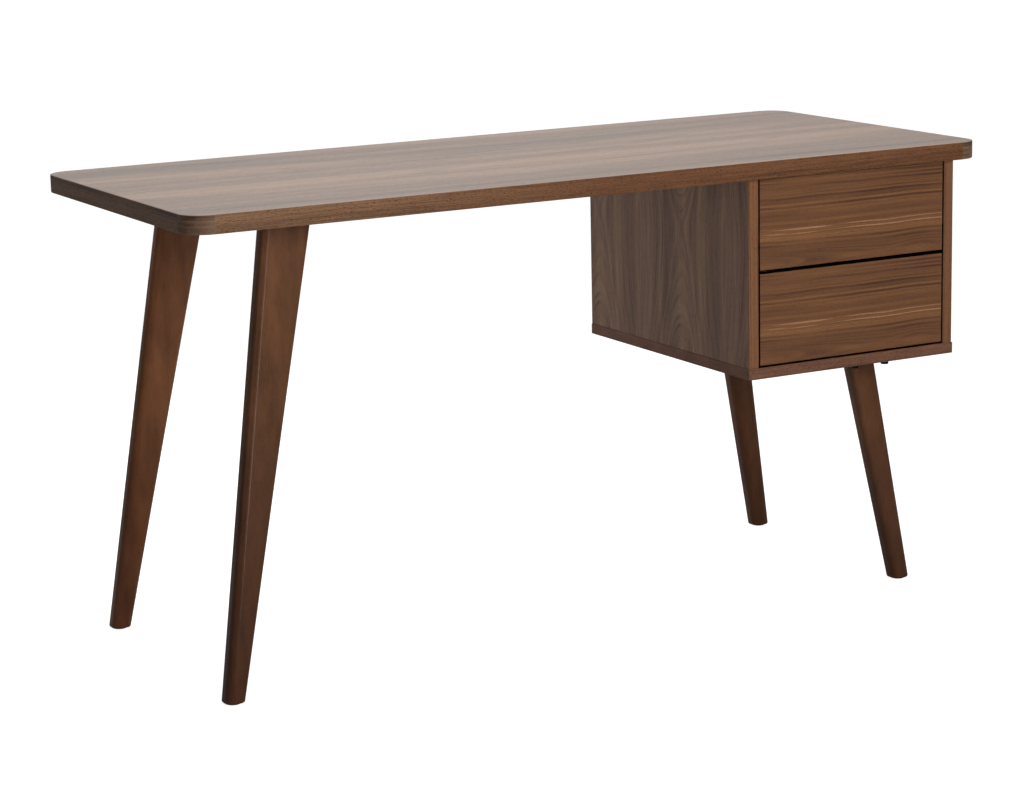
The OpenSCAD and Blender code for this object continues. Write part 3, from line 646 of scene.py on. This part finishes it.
# %% Plywood material
def plywood(name, along, across, through, face, thick, plies=9):
    """Face grain as soft bands; on the cut edges a square wave along the thickness, one step
    for each ply. Which of the two shows is read from the normal, which is fixed to the mesh."""
    material, tree, shader = start(name)
    coords = add(tree, "ShaderNodeTexCoord").outputs["Object"]
    turned = add(tree, "ShaderNodeMapping", Vector=coords,
                 Rotation=grain_turn(along, across)).outputs[0]
    squeezed = add(tree, "ShaderNodeMapping", Vector=turned, Scale=(2.0, 60.0, 60.0)).outputs[0]
    figure = add(tree, "ShaderNodeTexNoise", Vector=squeezed, Scale=1.0, Detail=4.0,
                 Distortion=0.6).outputs["Fac"]
    fine = add(tree, "ShaderNodeMapping", Vector=turned, Scale=(25.0, 900.0, 900.0)).outputs[0]
    strand = add(tree, "ShaderNodeTexNoise", Vector=fine, Scale=1.0, Detail=2.0).outputs["Fac"]
    face_colour = ramp(tree, figure, [(0.3, "#dcc7a2"), (0.5, "#d2b98f"), (0.75, "#bfa278")])

    axis = {"x": 0, "y": 1, "z": 2}[through]
    place = add(tree, "ShaderNodeSeparateXYZ", Vector=coords).outputs[axis]
    step = add(tree, "ShaderNodeMath", {"operation": "MULTIPLY_ADD"}, in0=place,
               in1=plies / thick, in2=-face * plies / thick).outputs[0]
    ply = add(tree, "ShaderNodeMath", {"operation": "MODULO"}, in0=step, in1=2.0).outputs[0]
    crosswise = add(tree, "ShaderNodeMath", {"operation": "GREATER_THAN"}, in0=ply,
                    in1=1.0).outputs[0]
    edge_colour = add(tree, "ShaderNodeMix", {"data_type": "RGBA"}, Factor=crosswise,
                      in6=linear("#d8c097"), in7=linear("#9c7a50")).outputs[2]

    normal = add(tree, "ShaderNodeTexCoord").outputs["Normal"]
    facing = add(tree, "ShaderNodeSeparateXYZ", Vector=normal).outputs[axis]
    is_edge = add(tree, "ShaderNodeMath", {"operation": "LESS_THAN"}, in0=add(
        tree, "ShaderNodeMath", {"operation": "ABSOLUTE"}, in0=facing).outputs[0],
        in1=CUT_EDGE).outputs[0]
    colour = add(tree, "ShaderNodeMix", {"data_type": "RGBA"}, Factor=is_edge,
                 in6=face_colour, in7=edge_colour).outputs[2]
    tree.links.new(colour, shader.inputs["Base Color"])
    tree.links.new(add(tree, "ShaderNodeMapRange", Value=strand, To_Min=0.38,
                       To_Max=0.6).outputs[0], shader.inputs["Roughness"])
    bump = add(tree, "ShaderNodeBump", Height=strand, Strength=0.15, Distance=0.1 * MM)
    tree.links.new(bump.outputs[0], shader.inputs["Normal"])
    return material


# %% Drawer boxes
def repaint(node, material):
    """Puts one material on a carried-over node."""
    materials = frame["nodes"][node].data.materials
    materials.clear()
    materials.append(material)


FACE_PLIES, RAIL_PLIES, THIN_PLIES = 9, 13, 3
BOX_BOARDS = {"front": ("x", "z", "y"), "back": ("x", "z", "y"), "left": ("y", "z", "x"),
              "right": ("y", "z", "x"), "bottom": ("x", "y", "z")}
for level in ("upper", "lower"):
    for part, (along, across, through) in BOX_BOARDS.items():
        node = "%s_box_%s" % (level, part)
        low, high = corners(node)
        axis = "xyz".index(through)
        thick = high[axis] - low[axis]
        ply = plywood("birch_plywood_" + node, along, across, through, low[axis], thick,
                      plies=THIN_PLIES if part == "bottom" else FACE_PLIES)
        if part == "bottom":
            repaint(node, ply)
        else:
            boxed(level + "_ply_" + part, node, 0.8 * MM, ply, level + "_drawer", "birch")
for node in ("front_rail", "rear_rail"):
    low, high = corners(node)
    repaint(node, plywood("birch_plywood_" + node, "x", "y", "z", low[2], high[2] - low[2],
                          plies=RAIL_PLIES))

# %% [markdown]
# ## Hardware
# Slides are rolled from zinc-plated sheet: a bright grey metal whose plating is faintly
# clouded and drawn along its length. Screws and washers have the same plating. The leg plates
# are powder coated, which gives a fine orange-peel skin, and the bolts are black oxide, a thin
# dark film over steel that still glints where light meets an edge.

# %% Metal and plastic finishes
def plated(name, light, dark, rough, stretch, metallic=1.0, bump=0.1, grain=900.0):
    """Colour follows broad clouds of its own; roughness and relief follow finer clouds, which
    stretch pulls out along Y.
    """
    material, tree, shader = start(name)
    coords = add(tree, "ShaderNodeTexCoord").outputs["Object"]
    pulled = add(tree, "ShaderNodeMapping", Vector=coords,
                 Scale=(grain, grain / stretch, grain)).outputs[0]
    cloud = add(tree, "ShaderNodeTexNoise", Vector=pulled, Scale=1.0, Detail=3.0,
                Roughness=0.6).outputs["Fac"]
    broad = add(tree, "ShaderNodeTexNoise", Vector=coords, Scale=60.0, Detail=3.0).outputs["Fac"]
    tree.links.new(ramp(tree, broad, [(0.35, light), (0.65, dark)]),
                   shader.inputs["Base Color"])
    tree.links.new(add(tree, "ShaderNodeMapRange", Value=cloud, From_Min=0.3, From_Max=0.7,
                       To_Min=rough - 0.06, To_Max=rough + 0.08).outputs[0],
                   shader.inputs["Roughness"])
    relief = add(tree, "ShaderNodeBump", Height=cloud, Strength=bump, Distance=0.05 * MM)
    tree.links.new(relief.outputs[0], shader.inputs["Normal"])
    shader.inputs["Metallic"].default_value = metallic
    return material


zinc = plated("zinc_plated_steel", "#c6c8c9", "#babcbf", 0.34, 30.0)
screw_zinc = plated("zinc_plated_screws", "#cfcfc9", "#b9b9b2", 0.27, 1.0)
powder = plated("powder_coated_plate", "#232427", "#1b1c1e", 0.5, 1.0, 0.0, 0.35, 700.0)
oxide = plated("black_oxide_bolts", "#2c2b2d", "#1d1d1f", 0.34, 1.0)
brass = plated("turned_brass_inserts", "#cfae68", "#b8934e", 0.3, 1.0)
nylon = plated("moulded_nylon", "#1d1d1e", "#151516", 0.55, 1.0, 0.0, 0.2, 1500.0)
beech = plywood("beech_dowels", "x", "y", "z", 0.0, 1.0, plies=1)
FINISHES = {"zinc_steel": screw_zinc, "slide_steel": zinc, "plate_steel": powder,
            "black_bolt": oxide, "brass_insert": brass, "nylon": nylon, "beech": beech}
for entry in frame["record"]["subparts"]:
    if entry["material_slot"] in FINISHES:
        repaint(entry["node"], FINISHES[entry["material_slot"]])

# %% [markdown]
# ## Screws with recesses
# The screws that hold the drawer boxes have a cross recess, and the long screws that hold the
# cabinet's bottom a hexagonal one. A screw is a stack of rings too: tip, shaft, head, and then
# the outline of the recess, once at the top and once, smaller, at its floor. In polar form the
# outline is one radius for each angle, so it joins to the round rings before it point by
# point. Countersunk heads stand a tenth of a millimetre proud, as they do when driven by hand.

# %% Screws
TURN = np.radians(np.arange(0, 360, 15))
PROUD = 0.1 * MM


def cross_recess(reach):
    """Two crossing bars: the farther of their edges at each angle, half as wide as reach x
    the tangent of 15 degrees."""
    half_wide = reach * math.tan(math.radians(15))
    c, s = np.abs(np.cos(TURN)) + 1e-9, np.abs(np.sin(TURN)) + 1e-9
    return np.maximum(np.minimum(reach / c, half_wide / s), np.minimum(half_wide / c, reach / s))


def hexagon_recess(reach):
    """Half the width across flats / cosine of the angle from the middle of the nearest side."""
    return reach / np.cos(TURN % (math.pi / 3) - math.pi / 6)


def screws(name, places, outward, head, shaft, recess, node, body):
    """Point = place + outward x height + radius x (side x cosine + up x sine). Places are where
    the heads' undersides are; head and shaft are (radius, height) and (radius, length)."""
    places, outward = np.array(places), np.array(outward, dtype=float)
    (head_r, head_h), (shaft_r, length) = head, shaft
    round_rows = [(0.4 * shaft_r, -length), (shaft_r, 3 * shaft_r - length), (shaft_r, 0),
                  (head_r, 0), (head_r, 0.6 * head_h), (0.88 * head_r, head_h)]
    radius = np.stack([np.full(len(TURN), r) for r, _ in round_rows] + [recess, 0.75 * recess])
    height = np.array([h for _, h in round_rows] + [head_h, 0.35 * head_h])
    side = outward[:, [1, 2, 0]]
    up = np.cross(outward, side)
    spokes = np.cos(TURN)[:, None] * side[:, None] + np.sin(TURN)[:, None] * up[:, None]
    rings = (places[:, None, None] + height[:, None, None] * outward[:, None, None]
             + radius[None, :, :, None] * spokes[:, None])
    return skin(name, rings, screw_zinc, body, [node])


FRONT_INSET, EDGE_INSET, SIDE_INSET = 50 * MM, 10 * MM, 6 * MM
BOX_HEAD, BOX_SHAFT = (3.5 * MM, 2.2 * MM), (1.75 * MM, 24 * MM)
for level in ("upper", "lower"):
    inner_y = corners(level + "_box_front")[1][1]
    left_low, left_high = corners(level + "_box_left")
    right_high = corners(level + "_box_right")[1]
    mid_z, fifth = (left_low[2] + left_high[2]) / 2, (left_high[2] - left_low[2]) / 5
    places = [(x, inner_y, z) for x in (left_low[0] + FRONT_INSET, right_high[0] - FRONT_INSET)
              for z in (mid_z - fifth, mid_z + fifth)]
    outward = [(0, 1, 0)] * len(places)
    sink = BOX_HEAD[1] - PROUD
    for x, out in ((left_low[0] + sink, -1), (right_high[0] - sink, 1)):
        places += [(x, y, z) for y in (left_low[1] + SIDE_INSET, left_high[1] - SIDE_INSET)
                   for z in (left_low[2] + EDGE_INSET / 2, left_high[2] - EDGE_INSET)]
        outward += [(out, 0, 0)] * 4
    screws(level + "_cross_screws", places, outward, BOX_HEAD, BOX_SHAFT,
           cross_recess(2.2 * MM), level + "_box_screws", level + "_drawer")

BASE_HEAD, BASE_SHAFT = (5 * MM, 2.5 * MM), (2.5 * MM, 47 * MM)
BASE_INSET, BASE_LIP = 40 * MM, 1.5 * MM
rear_low, rear_high = corners("cabinet_back")
low_z = base_low[2] + BASE_HEAD[1] - PROUD
places = [(x, y, low_z) for x in ((side_low[0] + side_high[0]) / 2,
                                  (other_low[0] + other_high[0]) / 2)
          for y in (strips_low[1] + BASE_LIP + 2.5 * BASE_INSET, side_high[1] - 2.5 * BASE_INSET)]
places += [(x, (rear_low[1] + rear_high[1]) / 2, low_z)
           for x in (rear_low[0] + BASE_INSET, rear_high[0] - BASE_INSET)]
screws("hexagon_screws", places, [(0, 0, -1)] * len(places), BASE_HEAD, BASE_SHAFT,
       hexagon_recess(2.0 * MM), "confirmat_screws", "frame")

# %% [markdown]
# ## Studio
# The desk stands on a wide pale floor in front of a white backdrop, and the room behind the
# camera is dim, as in a product studio. So the desktop mirrors the backdrop at a flat angle,
# which greys its brown, while the fronts mirror the dim room and keep their colour. A large
# softbox at the front right, with a honeycomb grid that narrows its beam, is the key light.
# It isn't mirrored, because from behind it would turn the desktop into a white sheet, and nor
# is the light behind the desk. A narrow strip below the height of the desktop is only
# mirrored: it draws the line of light along the round edge of the legs.
# Light Path lets the camera see floor and backdrop in white, while the desk gets only the
# light that a floor of mid grey would send back.

# %% Floor, light and world
REACH = 30.0
FLOOR_GREY = linear("#b2b2b2")
floor_mesh = bpy.data.meshes.new("studio_floor")
floor_mesh.from_pydata([(-REACH, -REACH, 0), (REACH, -REACH, 0), (REACH, REACH, 0),
                        (-REACH, REACH, 0)], [], [(0, 1, 2, 3)])
floor = bpy.data.objects.new("studio_floor", floor_mesh)
bpy.context.scene.collection.objects.link(floor)
floor_paint, floor_tree, floor_shader = start("pale_floor")
floor_shader.inputs["Base Color"].default_value = FLOOR_GREY
floor_shader.inputs["Roughness"].default_value = 0.9
floor_shader.inputs["Specular IOR Level"].default_value = 0.1
glow = add(floor_tree, "ShaderNodeEmission", Color=(1.0, 1.0, 1.0, 1.0), Strength=0.88)
lit = add(floor_tree, "ShaderNodeAddShader", in0=glow.outputs[0], in1=floor_shader.outputs[0])
seen = add(floor_tree, "ShaderNodeLightPath").outputs["Is Camera Ray"]
chosen = add(floor_tree, "ShaderNodeMixShader", in0=seen, in1=floor_shader.outputs[0],
             in2=lit.outputs[0])
floor_tree.links.new(chosen.outputs[0],
                     floor_tree.nodes["Material Output"].inputs["Surface"])
floor_mesh.materials.append(floor_paint)


def softbox(name, at, size, power, beam, aim, mirrored=True, lights=True):
    """A rectangular area light that faces the desk; beam is the angle its grid lets through.
    mirrored says whether it shows in reflections, lights whether it lights matt surfaces."""
    light = bpy.data.lights.new(name, "AREA")
    light.shape = "RECTANGLE"
    light.size, light.size_y = size
    light.energy = power
    light.spread = math.radians(beam)
    lamp = bpy.data.objects.new(name, light)
    lamp.location = at
    lamp.rotation_euler = (Vector(at) - Vector(aim)).to_track_quat("Z", "Y").to_euler()
    lamp.visible_camera = False
    lamp.visible_glossy = mirrored
    lamp.visible_diffuse = lights
    bpy.context.scene.collection.objects.link(lamp)


softbox("key_softbox", (0.3, -3.1, 1.45), (2.0, 1.5), 35.0, 110.0, (0.0, 0.0, 0.7),
        mirrored=False)
softbox("top_softbox", (0.0, 0.4, 3.2), (2.6, 2.0), 26.0, 150.0, (0.0, 0.0, 0.7))
softbox("left_fill", (-3.4, -1.6, 0.9), (1.6, 1.2), 2.0, 120.0, (0.0, 0.0, 0.5))
softbox("back_kicker", (-0.5, 2.3, 0.55), (1.4, 0.9), 14.0, 110.0, (0.25, 0.0, 0.5),
        mirrored=False)
softbox("edge_strip", (-0.45, -1.5, 0.36), (0.06, 0.66), 1.8, 150.0, (-0.45, 0.0, 0.36),
        lights=False)

world = bpy.data.worlds.new("studio_world")
bpy.context.scene.world = world
world.use_nodes = True
tree = world.node_tree
direction = add(tree, "ShaderNodeSeparateXYZ", Vector=add(
    tree, "ShaderNodeTexCoord").outputs["Generated"]).outputs
behind = add(tree, "ShaderNodeMapRange", {"interpolation_type": "SMOOTHSTEP"},
             Value=direction["Y"], From_Min=-0.2, From_Max=0.6, To_Min=0.16,
             To_Max=0.95).outputs[0]
half_turn = add(tree, "ShaderNodeMath", {"operation": "MULTIPLY_ADD"}, in0=direction["X"],
                in1=0.5, in2=0.5).outputs[0]
beside = ramp(tree, half_turn, [(0.1, "#686868"), (0.5, "#e0e0e0"), (0.72, "#ffffff"),
                                (0.86, "#d8d8d8")])
room = add(tree, "ShaderNodeMath", {"operation": "MULTIPLY"}, in0=behind, in1=beside).outputs[0]
dim = add(tree, "ShaderNodeBackground", Color=(1.0, 1.0, 1.0, 1.0), Strength=room)
white = tree.nodes["Background"]
white.inputs["Color"].default_value = (1.0, 1.0, 1.0, 1.0)
seen = add(tree, "ShaderNodeLightPath").outputs["Is Camera Ray"]
mixed = add(tree, "ShaderNodeMixShader", in0=seen, in1=dim.outputs[0], in2=white.outputs[0])
tree.links.new(mixed.outputs[0], tree.nodes["World Output"].inputs["Surface"])
bpy.context.scene.view_settings.view_transform = "Standard"
